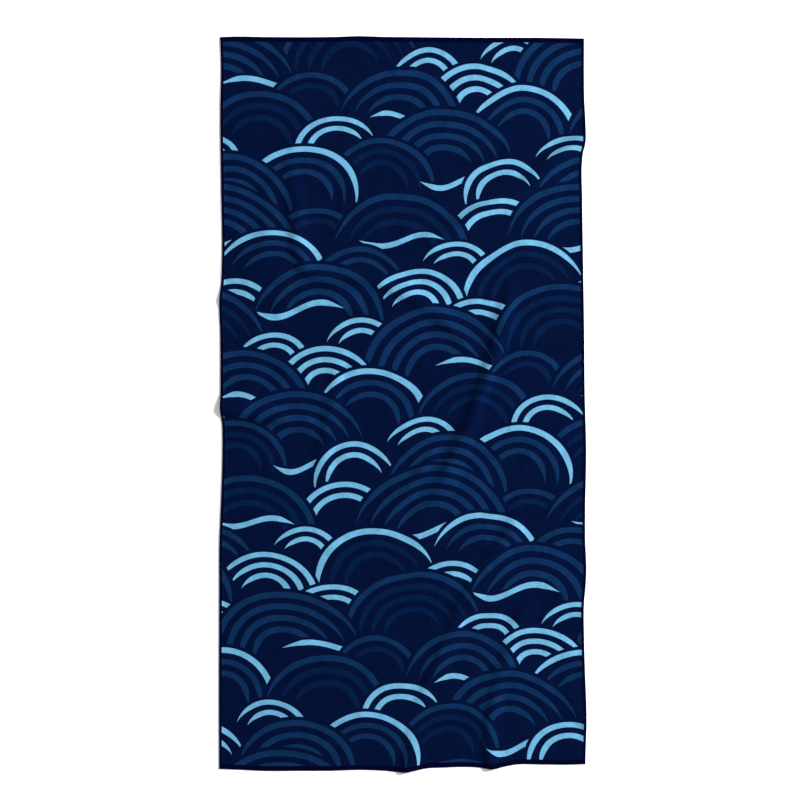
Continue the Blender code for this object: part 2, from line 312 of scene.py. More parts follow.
print("ridges:", len(RIDGES), "creases:", len(CREASES), "tallest crest, mm:", tallest)

# %% From the tables to a height
CURVE_STEP = 6.0
BLEND_POWER = 3.0
NO_RIDGE = 1e-6


def crest_line(rows):
    """A ridge's table as a smooth line with a row every few millimetres."""
    table = np.array(rows, float)
    steps = np.linalg.norm(np.diff(table[:, :2], axis=0), axis=1)
    knots = np.concatenate([[0.0], np.cumsum(steps)])
    line = smooth(knots, table, np.linspace(0.0, knots[-1], int(knots[-1] / CURVE_STEP) + 2))
    line[:, 2] = np.maximum(line[:, 2], 0.0)
    return line


def ridge_height(line, points):
    """A ridge's height over each point: a soft rise from the foot on either side to the crest."""
    heights = np.zeros(len(points))
    reach = line[:, 3:].max()
    low, high = line[:, :2].min(axis=0) - reach, line[:, :2].max(axis=0) + reach
    near = ((points > low) & (points < high)).all(axis=1)
    here = points[near]
    if not len(here):
        return heights
    run = np.diff(line[:, :2], axis=0)
    away = here[:, None, :] - line[:-1, :2]
    part = np.clip((away * run).sum(2) / (run**2).sum(1), 0.0, 1.0)
    gap = np.linalg.norm(away - part[:, :, None] * run, axis=2)
    nearest = gap.argmin(axis=1)
    pick = (np.arange(len(here)), nearest)
    part, gap, away, run = part[pick][:, None], gap[pick], away[pick], run[nearest]
    height, left, right = (line[nearest, 2:] * (1 - part) + line[nearest + 1, 2:] * part).T
    on_left = run[:, 0] * away[:, 1] - run[:, 1] * away[:, 0] > 0
    heights[near] = height * np.cos(np.pi / 2 * np.minimum(gap / np.where(on_left, left, right), 1.0)) ** 2
    return heights


def lift(points):
    """How far the underside is off the floor. Ridges that meet blend into each other."""
    tables = [*RIDGES.values(), *CREASES.values()]
    heights = np.stack([ridge_height(crest_line(rows), points) for rows in tables])
    heights[heights < NO_RIDGE] = 0.0
    return (heights**BLEND_POWER).sum(axis=0) ** (1 / BLEND_POWER)


crest = RIDGES["long_middle"][4]
made = float(lift(np.array([[crest.x, crest.y]]))[0])
print("long middle ridge, mm: charted", crest.height, "and made", round(made, 2))

# %% [markdown]
# ## The hems
# The maker turns each edge under and sews it, so the rim is two or three layers thick and its fold is round.
# A Solidify modifier would give every edge the same square wall. Here the thickness is worked out from how
# far a point is from the edge: a half-round fold, a full hem with a groove where the stitches pull it down,
# then a small step where the turned layer ends. The seam also draws the cloth in a little, which leaves small
# puckers beside it, most of all along the top.

# %% The cloth's thickness
CLOTH = 1.3
HEM = 1.9
SIDE_HEM_WIDTH = 6.0
END_HEM_WIDTH = 11.0
STEP_WIDTH = 0.9
STEP_SHARE = 0.55
HEM_EASE = 8.0
STITCH_INSET = 1.6
SIDE_SEAM = SIDE_HEM_WIDTH - STITCH_INSET
END_SEAM = END_HEM_WIDTH - STITCH_INSET
GROOVE_DEPTH = 0.35
GROOVE_WIDTH = 1.0


def edge_distances(points):
    """How far each point is inside the nearer long side, and inside the nearer end."""
    x, y = points[:, 0], points[:, 1]
    from_side = np.minimum(x - smooth(*LEFT, y), smooth(*RIGHT, y) - x)
    from_end = np.minimum(y - smooth(*BOTTOM, x), smooth(*TOP, x) - y)
    return np.maximum(from_side, 0.0), np.maximum(from_end, 0.0)


def hem_share(past):
    """How much of the hem's extra thickness is left past its inner line: a step, then a soft run-out."""
    step = np.clip(past / STEP_WIDTH, 0.0, 1.0) * STEP_SHARE
    run_out = np.clip(past / HEM_EASE, 0.0, 1.0)
    return 1 - step - (1 - STEP_SHARE) * (3 * run_out**2 - 2 * run_out**3)


def thickness(points):
    """The cloth's thickness at each point, and how full the rounded fold of the rim is there."""
    from_side, from_end = edge_distances(points)
    share = np.maximum(hem_share(from_side - SIDE_HEM_WIDTH), hem_share(from_end - END_HEM_WIDTH))
    layers = CLOTH + (HEM - CLOTH) * share
    to_side_seam, to_end_seam = abs(from_side - SIDE_SEAM), abs(from_end - END_SEAM)
    to_side_seam[from_end < END_SEAM] = np.inf
    to_end_seam[from_side < SIDE_SEAM] = np.inf
    to_seam = np.minimum(to_side_seam, to_end_seam)
    layers -= GROOVE_DEPTH * np.clip(1 - to_seam / GROOVE_WIDTH, 0.0, 1.0)
    inwards = np.minimum(np.minimum(from_side, from_end) / (HEM / 2), 1.0)
    return layers, np.sqrt(1 - (1 - inwards) ** 2)


print("cloth and hem, mm:", CLOTH, HEM, "seams from the edge, mm:", SIDE_SEAM, END_SEAM)

# %% The puckers beside the seams
PUCKER_WAVES = ((23.0, 0.0), (31.0, 1.3), (47.0, 2.9))
PUCKER_REACH = 20.0
TOP_PUCKERS = 0.45
OTHER_PUCKERS = 0.16


def puckers(points):
    """Small waves where the seam draws the cloth in. They fade inwards, and are highest at the top."""
    waves = [sum(np.sin(2 * np.pi * at / size + turn) for size, turn in PUCKER_WAVES) for at in points.T]
    across_waves, along_waves = (wave / len(PUCKER_WAVES) / 2 + 0.5 for wave in waves)
    from_side, from_end = edge_distances(points)
    at_end = np.where(points[:, 1] > 0, TOP_PUCKERS, OTHER_PUCKERS) * np.exp(-from_end / PUCKER_REACH)
    return across_waves * at_end + along_waves * OTHER_PUCKERS * np.exp(-from_side / PUCKER_REACH)


print("puckers, mm: up to", TOP_PUCKERS, "at the top and", OTHER_PUCKERS, "elsewhere")

# %% [markdown]
# ## The sheet
# The cloth is one closed skin: a grid of quads for the face, the same grid for the back, joined along the
# fold of the rim. The grid's lines crowd together at the hems, where there is most to show, and are even
# over the rest. Each point keeps two maps. One is where it is on the flat cloth, measured along the surface,
# so that the print runs over a ridge as it would on real cloth. The other lays face and back side by side.

# %% Lay out the grid
CUT_WIDTH, CUT_LENGTH = 800.0, 1600.0
GRID_STEP = 5.8
SIDE_LINES = (0, 0.2, 0.6, 1.3, 3.4, 4.4, 5.4, 6.0, 6.9, 9.5, 14.0)
END_LINES = (0, 0.2, 0.6, 1.3, 4.4, 8.4, 9.4, 10.4, 11.0, 11.9, 15.0, 19.0)
TRUE_BORDER = 16.0
FITTING_ROUNDS = 3


def grid_lines(lines, length):
    """Places across the cloth as millimetres from one edge: close at both hems, and even between them."""
    close = np.array(lines, float)
    count = int(round((length - 2 * close[-1]) / GRID_STEP))
    even = np.linspace(close[-1], length - close[-1], count + 1)[1:-1]
    return np.concatenate([close, even, (length - close)[::-1]])


def plan_points(across, along):
    """The grid's points seen from above, on the outline's own curves at the four sides."""
    width, length = across[-1], along[-1]
    u, v = np.meshgrid(across / width, along / length)
    y = TOP_LEFT.y * v + BOTTOM_LEFT.y * (1 - v)
    x = BOTTOM_LEFT.x * (1 - u) + BOTTOM_RIGHT.x * u
    for _ in range(FITTING_ROUNDS):
        left, right = smooth(*LEFT, y.ravel()).reshape(y.shape), smooth(*RIGHT, y.ravel()).reshape(y.shape)
        x = blend_across(left, right, across, width)
        low, high = smooth(*BOTTOM, x.ravel()).reshape(x.shape), smooth(*TOP, x.ravel()).reshape(x.shape)
        y = blend_across(low.T, high.T, along, length).T
    return x, y


def blend_across(low, high, places, whole):
    """Spreads the places between two sides: true distances near either side, and stretched between them."""
    inner = np.clip((places - TRUE_BORDER) / (whole - 2 * TRUE_BORDER), 0.0, 1.0)
    return (low + places) * (1 - inner) + (high - whole + places) * inner


across = grid_lines(SIDE_LINES, CUT_WIDTH)
along = grid_lines(END_LINES, CUT_LENGTH)
x, y = plan_points(across, along)
points = np.stack([x.ravel(), y.ravel()], axis=1)
middle = (points.max(axis=0) + points.min(axis=0)) / 2
print("grid, points along and across:", x.shape)

# %% Give the grid its height
under = (lift(points) + puckers(points)).reshape(x.shape)
layers, fullness = (value.reshape(x.shape) for value in thickness(points))
half = layers / 2
face_z = under + half + half * fullness
back_z = under + half - half * fullness
print("highest point of the face, mm:", round(float(face_z.max()), 2))

# %% Map the cloth
MAP_WIDTH = 1.66
MAP_SHIFT = 0.25
FACE_FINISH, HEM_FINISH, BACK_FINISH = 0, 1, 2


def along_surface(x, y, z):
    """Where each point is on the flat cloth: its distances along the surface from the grid's middle lines."""
    def run(place, axis):
        steps = np.sqrt(np.diff(place, axis=axis) ** 2 + np.diff(z, axis=axis) ** 2)
        total = np.concatenate([np.zeros_like(np.take(steps, [0], axis)), np.cumsum(steps, axis)], axis)
        return total - total.take([total.shape[axis] // 2], axis)

    return run(x, 1), run(y, 0)


def map_faces(mesh, face, quads):
    """Gives the mesh its two maps and says which finish each face takes."""
    front = np.stack(along_surface(x, y, face_z), axis=-1).reshape(-1, 2) / 1000
    rear = np.stack(along_surface(x, y, back_z), axis=-1).reshape(-1, 2) / 1000
    corners = front[quads(face, False)], rear[quads(face, True)]
    flat = np.concatenate([side.reshape(-1, 2) for side in corners])
    baked = flat / MAP_WIDTH + 0.5
    baked[: len(baked) // 2, 0] -= MAP_SHIFT
    baked[len(baked) // 2 :, 0] += MAP_SHIFT
    for name, values in (("OFBake", baked), ("cloth", flat)):
        layer = mesh.uv_layers.new(name=name)
        layer.uv.foreach_set("vector", values.astype(np.float32).ravel())
    column = (across[:-1] + across[1:]) / 2
    row = (along[:-1] + along[1:]) / 2
    in_side = np.minimum(column, across[-1] - column) < SIDE_HEM_WIDTH
    in_end = np.minimum(row, along[-1] - row) < END_HEM_WIDTH
    in_hem = (in_side[None, :] | in_end[:, None]).ravel()
    finish = [np.where(in_hem, HEM_FINISH, side) for side in (FACE_FINISH, BACK_FINISH)]
    mesh.polygons.foreach_set("material_index", np.concatenate(finish).astype(np.int32))


print("cloth, mm along the surface:", *(round(float(np.ptp(side))) for side in along_surface(x, y, face_z)))

# %% Make the sheet
def make_sheet(name):
    """Makes the towel's mesh: the face, then the back, which shares the face's outermost points."""
    rows, columns = x.shape
    face = np.arange(rows * columns).reshape(rows, columns)
    back = face.copy()
    inner = np.arange((rows - 2) * (columns - 2)).reshape(rows - 2, columns - 2)
    back[1:-1, 1:-1] = inner + rows * columns
    place = np.stack([x - middle[0], y - middle[1], face_z], axis=2).reshape(-1, 3)
    behind = np.stack([x - middle[0], y - middle[1], back_z], axis=2)[1:-1, 1:-1].reshape(-1, 3)

    def quads(corners, turned):
        a, b, c, d = corners[:-1, :-1], corners[:-1, 1:], corners[1:, 1:], corners[1:, :-1]
        cells = np.stack([a, d, c, b] if turned else [a, b, c, d], axis=-1)
        # A quad splits from its first point to its third. At the cloth's tips the split has to meet the tip,
        # or a face and its twin on the back would lie on each other.
        for tip in ((0, -1), (-1, 0)):
            cells[tip] = np.roll(cells[tip], 1)
        return cells.reshape(-1, 4)

    faces = np.concatenate([quads(face, False), quads(back, True)])
    mesh = bpy.data.meshes.new(name)
    mesh.vertices.add(rows * columns + inner.size)
    mesh.vertices.foreach_set("co", (np.concatenate([place, behind]) / 1000).astype(np.float32).ravel())
    mesh.loops.add(faces.size)
    mesh.loops.foreach_set("vertex_index", faces.ravel().astype(np.int32))
    mesh.polygons.add(len(faces))
    mesh.polygons.foreach_set("loop_start", np.arange(0, faces.size, 4, dtype=np.int32))
    mesh.polygons.foreach_set("use_smooth", np.ones(len(faces), bool))
    mesh.update(calc_edges=True)
    map_faces(mesh, face, quads)
    towel = bpy.data.objects.new(name, mesh)
    bpy.context.scene.collection.objects.link(towel)
    return towel


towel = make_sheet("beach_towel")
print("faces:", len(towel.data.polygons))

# %% [markdown]
# ## Helpers for node trees
# A material or a Geometry Nodes tree is easier to read when each node is one short call. These helpers add a
# node, set its options, and feed each of its inputs with a number or with another node's output.

# %% Node helpers
def feed(tree, socket, value):
    """Links an output to this socket, or sets the socket to a plain value."""
    if isinstance(value, bpy.types.NodeSocket):
        tree.links.new(value, socket)
    else:
        socket.default_value = value


def add(tree, kind, feeds=None, **options):
    """Adds a node with these options and inputs."""
    node = tree.nodes.new(kind)
    for name, value in options.items():
        setattr(node, name, value)
    for name, value in (feeds or {}).items():
        feed(tree, node.inputs[name], value)
    return node


def maths(tree, operation, *values, clamp=False):
    """Adds a Math node and returns its output."""
    feeds = dict(enumerate(values))
    return add(tree, "ShaderNodeMath", feeds, operation=operation, use_clamp=clamp).outputs[0]


def mixed(tree, share, first, second):
    """Goes from the first number to the second as the share goes from 0 to 1."""
    return add(tree, "ShaderNodeMix", {0: share, 2: first, 3: second}, clamp_factor=True).outputs[0]


def mixed_colour(tree, share, first, second):
    """Goes from the first colour to the second as the share goes from 0 to 1."""
    return add(tree, "ShaderNodeMix", {0: share, 6: first, 7: second}, data_type="RGBA").outputs[2]


def vector_maths(tree, operation, *values):
    """Adds a Vector Math node and returns its vector, or its number if it measures one."""
    node = add(tree, "ShaderNodeVectorMath", dict(enumerate(values)), operation=operation)
    return node.outputs["Value" if operation in ("LENGTH", "DOT_PRODUCT") else "Vector"]


def new_group(name, takes, gives):
    """Starts a shader node group. Each input and output is given as a name and a kind of socket."""
    group = bpy.data.node_groups.new(name, "ShaderNodeTree")
    for in_out, sockets in (("INPUT", takes), ("OUTPUT", gives)):
        for socket_name, kind in sockets:
            group.interface.new_socket(name=socket_name, in_out=in_out, socket_type="NodeSocket" + kind)
    return group, group.nodes.new("NodeGroupInput").outputs, group.nodes.new("NodeGroupOutput").inputs


def use_group(tree, group, feeds):
    """Places a group in a tree and returns its outputs."""
    node = add(tree, "ShaderNodeGroup", node_tree=group)
    for name, value in feeds.items():
        feed(tree, node.inputs[name], value)
    return node.outputs


# %% [markdown]
# ## The print: one fan
# The cloth is printed with fans of nested arcs, an old pattern for waves on cloth and paper, and with
# single strokes between them. It could be an image, but an image has one resolution. Here it is drawn by
# sums, so its edges stay sharp at any distance. One group draws one fan over what is under it: the
# distance from the fan's centre, counted in rings, says where there is ink. Each ring thins out towards
# its ends as a brush stroke does, and a slanted fan leans to one side, with its thick end there. An ink is
# only a number here, and becomes a colour in the material.

# %% The fan group
ACROSS, UPWARDS = (1.0, 0.0, 0.0), (0.0, 1.0, 0.0)
HALO = 0.3
THIN_END = 0.12
THIN_OUT = 1.6
SOFTEN = 0.6

fan_group, given, result = new_group(
    "one fan of arcs",
    [(name, "Vector") for name in ("Place", "Centre", "Lean")]
    + [(name, "Float") for name in ("Under", "Radius", "Rings", "Pitch", "Stroke", "Outer ink", "Inner ink")],
    [("Ink", "Float")],
)
away = vector_maths(fan_group, "SUBTRACT", given["Place"], given["Centre"])
distance = vector_maths(fan_group, "LENGTH", away)
lean = maths(fan_group, "DIVIDE", vector_maths(fan_group, "DOT_PRODUCT", away, given["Lean"]), distance)
ring = maths(fan_group, "DIVIDE", maths(fan_group, "SUBTRACT", given["Radius"], distance), given["Pitch"])
thin_out = maths(fan_group, "SMOOTH_MIN", maths(fan_group, "ADD", lean, THIN_END), 1.0, SOFTEN)
stroke = maths(fan_group, "MULTIPLY", thin_out, given["Stroke"])
in_stroke = maths(fan_group, "LESS_THAN", maths(fan_group, "FRACT", ring), stroke)
in_rings = maths(fan_group, "LESS_THAN", ring, given["Rings"])
ink = mixed(fan_group, maths(fan_group, "LESS_THAN", ring, 1.0), given["Inner ink"], given["Outer ink"])
ink = maths(fan_group, "MULTIPLY", ink, maths(fan_group, "MULTIPLY", in_stroke, in_rings))
over = maths(fan_group, "GREATER_THAN", ring, -HALO)
feed(fan_group, result["Ink"], mixed(fan_group, over, given["Under"], ink))
print("fan group:", len(fan_group.nodes), "nodes")

# %% [markdown]
# ## The print: one brush stroke
# Between the fans there are single strokes, like a glint on running water. A stroke follows a wave from its
# start to its end. The same trick is used as for a fan: the distance above or below the wave says where there
# is ink. The stroke swells from a point and closes to a point again, and so does the ground that it spares
# on either side, as a loaded brush would leave it.

# %% The stroke group
SWELL = 1.9
SPARED = 7.0

stroke_group, given, result = new_group(
    "one brush stroke",
    [(name, "Vector") for name in ("Place", "Start")]
    + [(name, "Float") for name in ("Under", "Length", "Swing", "Half width", "Ink")],
    [("Ink", "Float")],
)
away = vector_maths(stroke_group, "SUBTRACT", given["Place"], given["Start"])
part = vector_maths(stroke_group, "DOT_PRODUCT", away, ACROSS)
part = maths(stroke_group, "DIVIDE", part, given["Length"])
wave = maths(stroke_group, "SINE", maths(stroke_group, "MULTIPLY", part, 2 * np.pi))
wave = maths(stroke_group, "MULTIPLY", wave, given["Swing"])
off = maths(stroke_group, "SUBTRACT", wave, vector_maths(stroke_group, "DOT_PRODUCT", away, UPWARDS))
off = maths(stroke_group, "ABSOLUTE", off)
part = maths(stroke_group, "MAXIMUM", maths(stroke_group, "MINIMUM", part, 1.0), 0.0)
swell = maths(stroke_group, "SINE", maths(stroke_group, "MULTIPLY", part, np.pi))
swell = maths(stroke_group, "MINIMUM", maths(stroke_group, "MULTIPLY", swell, SWELL), 1.0)
half_width = maths(stroke_group, "MULTIPLY", swell, given["Half width"])
in_stroke = maths(stroke_group, "LESS_THAN", off, half_width)
reach = maths(stroke_group, "MULTIPLY", swell, maths(stroke_group, "ADD", given["Half width"], SPARED))
over = maths(stroke_group, "LESS_THAN", off, reach)
ink = maths(stroke_group, "MULTIPLY", given["Ink"], in_stroke)
feed(stroke_group, result["Ink"], mixed(stroke_group, over, given["Under"], ink))
print("stroke group:", len(stroke_group.nodes), "nodes")

# %% [markdown]
# ## The print: the repeat
# A print like this is cut as one repeat, which steps sideways from row to row so that the eye doesn't catch
# it. The tables chart it, in millimetres. Motifs that hang over the repeat's edge are put in again on
# the other side, and all of them are drawn from the furthest back to the nearest, so that each one covers
# those above it. A little drift in the coordinates takes the ruler's stiffness out of the curves.

# %% Chart the repeat
FAINT, MID, LIGHT = 1.0, 2.0, 3.0
REPEAT_WIDTH, REPEAT_HEIGHT, REPEAT_STEP = 800.0, 620.0, 330.0
FLATTEN = 1.15
Fan = namedtuple("Fan", "x y radius rings pitch stroke slant outer inner")
Stroke = namedtuple("Stroke", "x y length swing width ink front")
FANS = (
    Fan(120, 560, 150, 3, 30, 0.48, 0.5, MID, FAINT),
    Fan(330, 590, 105, 2, 27, 0.48, -0.6, LIGHT, LIGHT),
    Fan(520, 565, 170, 4, 30, 0.50, 0.4, MID, MID),
    Fan(735, 580, 95, 2, 26, 0.48, 0.0, MID, FAINT),
    Fan(245, 520, 75, 2, 25, 0.48, 0.7, LIGHT, LIGHT),
    Fan(640, 505, 120, 3, 27, 0.48, 0.6, LIGHT, MID),
    Fan(30, 490, 100, 2, 28, 0.48, -0.4, MID, MID),
    Fan(395, 470, 130, 3, 30, 0.48, -0.5, LIGHT, FAINT),
    Fan(160, 430, 110, 3, 27, 0.48, 0.5, LIGHT, LIGHT),
    Fan(560, 430, 85, 2, 26, 0.48, -0.6, LIGHT, LIGHT),
    Fan(745, 415, 140, 3, 32, 0.48, 0.3, MID, MID),
    Fan(300, 375, 95, 2, 26, 0.48, 0.6, LIGHT, LIGHT),
    Fan(480, 355, 150, 4, 29, 0.48, -0.3, MID, FAINT),
    Fan(40, 350, 75, 2, 25, 0.48, 0.5, LIGHT, LIGHT),
    Fan(200, 300, 160, 4, 30, 0.50, -0.5, MID, MID),
    Fan(650, 320, 80, 2, 25, 0.48, 0.6, LIGHT, LIGHT),
    Fan(400, 265, 90, 2, 27, 0.48, 0.5, MID, FAINT),
    Fan(760, 265, 105, 3, 27, 0.48, -0.5, LIGHT, LIGHT),
    Fan(590, 235, 130, 3, 30, 0.48, 0.4, MID, MID),
    Fan(60, 205, 120, 3, 29, 0.48, 0.6, LIGHT, MID),
    Fan(290, 185, 130, 3, 30, 0.48, 0.3, MID, FAINT),
    Fan(450, 170, 85, 2, 26, 0.48, -0.5, LIGHT, LIGHT),
    Fan(170, 130, 80, 2, 25, 0.48, 0.6, LIGHT, LIGHT),
    Fan(690, 130, 150, 4, 30, 0.50, -0.4, MID, MID),
    Fan(380, 75, 120, 3, 28, 0.48, 0.5, LIGHT, MID),
    Fan(20, 70, 90, 2, 27, 0.48, -0.5, LIGHT, LIGHT),
    Fan(555, 92, 112, 3, 28, 0.48, 0.3, MID, FAINT),
    Fan(225, 45, 130, 3, 30, 0.48, 0.4, MID, MID),
)
STROKES = (
    Stroke(30, 590, 190, -12, 12, LIGHT, 60),
    Stroke(436, 574, 200, -13, 12, LIGHT, 62),
    Stroke(602, 436, 200, -14, 13, LIGHT, 30),
    Stroke(196, 313, 240, 13, 12, LIGHT, 43),
    Stroke(524, 238, 170, 12, 12, LIGHT, 98),
    Stroke(636, 96, 160, -13, 12, LIGHT, 20),
)


def copies_in_repeat(motif, left, right, low, high):
    """Where this motif and its copies in the repeats next to it show in one repeat."""
    for rows_up in (-1, 0, 1):
        for times_across in (-2, -1, 0, 1, 2):
            x = motif.x + times_across * REPEAT_WIDTH + rows_up * REPEAT_STEP
            y = motif.y + rows_up * REPEAT_HEIGHT
            if left < REPEAT_WIDTH - x and right > -x and low < REPEAT_HEIGHT - y and high > -y:
                yield x, y


def drawing_order():
    """Every motif and copy of the repeat with its place, from the furthest back to the nearest."""
    drawn = []
    for fan in FANS:
        for x, y in copies_in_repeat(fan, -fan.radius, fan.radius, 0, fan.radius):
            drawn.append((y, x, y, fan))
    for stroke in STROKES:
        reach = abs(stroke.swing) + stroke.width
        for x, y in copies_in_repeat(stroke, 0, stroke.length, -reach, reach):
            drawn.append((y - stroke.front, x, y, stroke))
    return sorted(drawn, key=lambda row: -row[0])


print("fans:", len(FANS), "strokes:", len(STROKES), "repeat, mm:", REPEAT_WIDTH, "by", REPEAT_HEIGHT)

# %% The print's group
DRIFT = 11.0
DRIFT_SIZE = 230.0
CUT_FROM_REPEAT = (460.0, 854.0, 0.0)

print_group, given, result = new_group("printed waves", [("Place", "Vector")], [("Ink", "Float")])
place = vector_maths(print_group, "MULTIPLY", given["Place"], (1000.0, 1000.0, 1000.0))
drift = add(print_group, "ShaderNodeTexNoise", {"Vector": place, "Scale": 1 / DRIFT_SIZE, "Detail": 0.0})
drift = vector_maths(print_group, "SUBTRACT", drift.outputs["Color"], (0.5, 0.5, 0.5))
drift = vector_maths(print_group, "MULTIPLY", drift, (2 * DRIFT, 2 * DRIFT, 0.0))
place = vector_maths(print_group, "ADD", vector_maths(print_group, "ADD", place, drift), CUT_FROM_REPEAT)
place = add(print_group, "ShaderNodeSeparateXYZ", {0: place}).outputs
row = maths(print_group, "FLOOR", maths(print_group, "DIVIDE", place["Y"], REPEAT_HEIGHT))
across_repeat = maths(print_group, "MULTIPLY_ADD", row, -REPEAT_STEP, place["X"])
across_repeat = maths(print_group, "FLOORED_MODULO", across_repeat, REPEAT_WIDTH)
up_repeat = maths(print_group, "MULTIPLY_ADD", row, -REPEAT_HEIGHT, place["Y"])
up_repeat = maths(print_group, "MULTIPLY", up_repeat, FLATTEN)
in_repeat = add(print_group, "ShaderNodeCombineXYZ", {"X": across_repeat, "Y": up_repeat}).outputs[0]

ink = 0.0
for _, x_place, y_place, motif in drawing_order():
    at = (x_place, y_place * FLATTEN, 0.0)
    common = {"Place": in_repeat, "Under": ink}
    if isinstance(motif, Fan):
        shape = {"Centre": at, "Lean": (motif.slant, THIN_OUT, 0.0), "Radius": motif.radius}
        arcs = {"Rings": motif.rings, "Pitch": motif.pitch, "Stroke": motif.stroke}
        inks = {"Outer ink": motif.outer, "Inner ink": motif.inner}
        ink = use_group(print_group, fan_group, {**common, **shape, **arcs, **inks})["Ink"]
    else:
        shape = {"Start": at, "Length": motif.length, "Swing": motif.swing * FLATTEN}
        brush = {"Half width": motif.width * FLATTEN / 2, "Ink": motif.ink}
        ink = use_group(print_group, stroke_group, {**common, **shape, **brush})["Ink"]
feed(print_group, result["Ink"], ink)
print("motifs drawn in one repeat:", len(drawing_order()))

# %% [markdown]
# ## The nap
# Smooth microfibre is a very fine knit, brushed and pressed. From arm's length its threads can't be seen:
# the cloth looks matt and even, with faint soft patches where the nap lies another way, and a fine grain
# close up. A woven grid would be too coarse and would shimmer. So one group makes the nap from two noises,
# a little drawn out along the cloth as it was brushed, and the face, the hems, the back and the thread all
# use it with their own strengths.

# %% The nap's group
PATCH_RELIEF = 6.0
ALONG_CLOTH = (1.0, 0.65, 1.0)

nap_group, given, result = new_group(
    "brushed nap",
    [("Place", "Vector"), ("Fibre", "Float"), ("Patch", "Float"), ("Unevenness", "Float")],
    [("Height", "Float"), ("Shade", "Float")],
)
place = vector_maths(nap_group, "MULTIPLY", given["Place"], ALONG_CLOTH)
fibres = add(nap_group, "ShaderNodeTexNoise", {"Vector": place, "Detail": 3.0, "Roughness": 0.6})
feed(nap_group, fibres.inputs["Scale"], maths(nap_group, "DIVIDE", 1.0, given["Fibre"]))
patches = add(nap_group, "ShaderNodeTexNoise", {"Vector": place, "Detail": 4.0, "Roughness": 0.75})
feed(nap_group, patches.inputs["Scale"], maths(nap_group, "DIVIDE", 1.0, given["Patch"]))
height = maths(nap_group, "MULTIPLY_ADD", patches.outputs["Fac"], PATCH_RELIEF, fibres.outputs["Fac"])
feed(nap_group, result["Height"], height)
both = maths(nap_group, "ADD", patches.outputs["Fac"], fibres.outputs["Fac"])
shade = maths(nap_group, "MULTIPLY_ADD", maths(nap_group, "SUBTRACT", both, 1.0), given["Unevenness"], 1.0)
feed(nap_group, result["Shade"], shade)
print("nap group:", len(nap_group.nodes), "nodes")

# %% [markdown]
# ## The finishes
# Four finishes share the nap: the printed face, the dark hems, the pale back, which the dye barely reached,
# and the sewing thread. Brushed cloth has no glare, even against the light, so it takes no mirror-like
# shine at all: a faint blue sheen stands for the light that the fibres catch at a low angle. Colours are
# the dye's own, in linear numbers.

# %% The four materials
GROUND_DYE = (0.00070, 0.00295, 0.0187, 1.0)
FAINT_DYE = (0.00098, 0.0070, 0.0328, 1.0)
MID_DYE = (0.00255, 0.01557, 0.0546, 1.0)
LIGHT_DYE = (0.09335, 0.2632, 0.4091, 1.0)
HEM_DYE = (0.00045, 0.00091, 0.00981, 1.0)
BACK_DYE = (0.5800, 0.6150, 0.6700, 1.0)
GHOST_SHARE = 0.30
THREAD_DYE = (0.00060, 0.00136, 0.01132, 1.0)
BLUE_SHEEN = (0.15, 0.40, 1.0, 1.0)
NAVY_SHEEN = (0.10, 0.12, 1.0, 1.0)
ROUGHNESS_SPREAD = 0.15
FIBRE = 0.0016
PATCH = 0.030


def cloth_material(name, tint, roughness, sheen, relief, uneven):
    """Starts a cloth's material. Returns its tree, its shader, the place on the cloth's map, and the nap."""
    material = bpy.data.materials.new(name)
    material.use_nodes = True
    tree = material.node_tree
    shader = tree.nodes["Principled BSDF"]
    shader.inputs["Specular IOR Level"].default_value = 0.0
    shader.inputs["Sheen Weight"].default_value = sheen
    shader.inputs["Sheen Roughness"].default_value = 0.5
    shader.inputs["Sheen Tint"].default_value = tint
    place = add(tree, "ShaderNodeUVMap", uv_map="cloth").outputs[0]
    nap = use_group(tree, nap_group, {"Place": place, "Fibre": FIBRE, "Patch": PATCH, "Unevenness": uneven})
    bump = add(tree, "ShaderNodeBump", {"Height": nap["Height"], "Strength": 1.0, "Distance": relief})
    feed(tree, shader.inputs["Normal"], bump.outputs[0])
    even_part = roughness - ROUGHNESS_SPREAD
    rough = maths(tree, "MULTIPLY_ADD", nap["Shade"], ROUGHNESS_SPREAD, even_part, clamp=True)
    feed(tree, shader.inputs["Roughness"], rough)
    return material, tree, shader, place, nap


def shaded(tree, colour, nap):
    """Makes a dye a little lighter and darker with the nap."""
    grey = add(tree, "ShaderNodeCombineColor", {channel: nap["Shade"] for channel in range(3)}).outputs[0]
    feeds = {0: 1.0, 6: colour, 7: grey}
    return add(tree, "ShaderNodeMix", feeds, data_type="RGBA", blend_type="MULTIPLY").outputs[2]


def printed(tree, place):
    """The print's colour at this place on the cloth."""
    ink = use_group(tree, print_group, {"Place": place})["Ink"]
    colour = GROUND_DYE
    for level, dye in ((FAINT, FAINT_DYE), (MID, MID_DYE), (LIGHT, LIGHT_DYE)):
        colour = mixed_colour(tree, maths(tree, "GREATER_THAN", ink, level - 0.5), colour, dye)
    return colour


face_material, tree, shader, place, nap = cloth_material(
    "printed face", BLUE_SHEEN, roughness=0.86, sheen=0.06, relief=0.00012, uneven=1.1
)
feed(tree, shader.inputs["Base Color"], shaded(tree, printed(tree, place), nap))

hem_material, tree, shader, place, nap = cloth_material(
    "dark turned hem", NAVY_SHEEN, roughness=0.84, sheen=0.05, relief=0.00016, uneven=1.0
)
feed(tree, shader.inputs["Base Color"], shaded(tree, HEM_DYE, nap))

back_material, tree, shader, place, nap = cloth_material(
    "pale back", BLUE_SHEEN, roughness=0.90, sheen=0.05, relief=0.00008, uneven=0.3
)
ghost = mixed_colour(tree, GHOST_SHARE, BACK_DYE, printed(tree, place))
feed(tree, shader.inputs["Base Color"], shaded(tree, ghost, nap))

for material in (face_material, hem_material, back_material):
    towel.data.materials.append(material)
print("finishes:", [material.name for material in towel.data.materials])

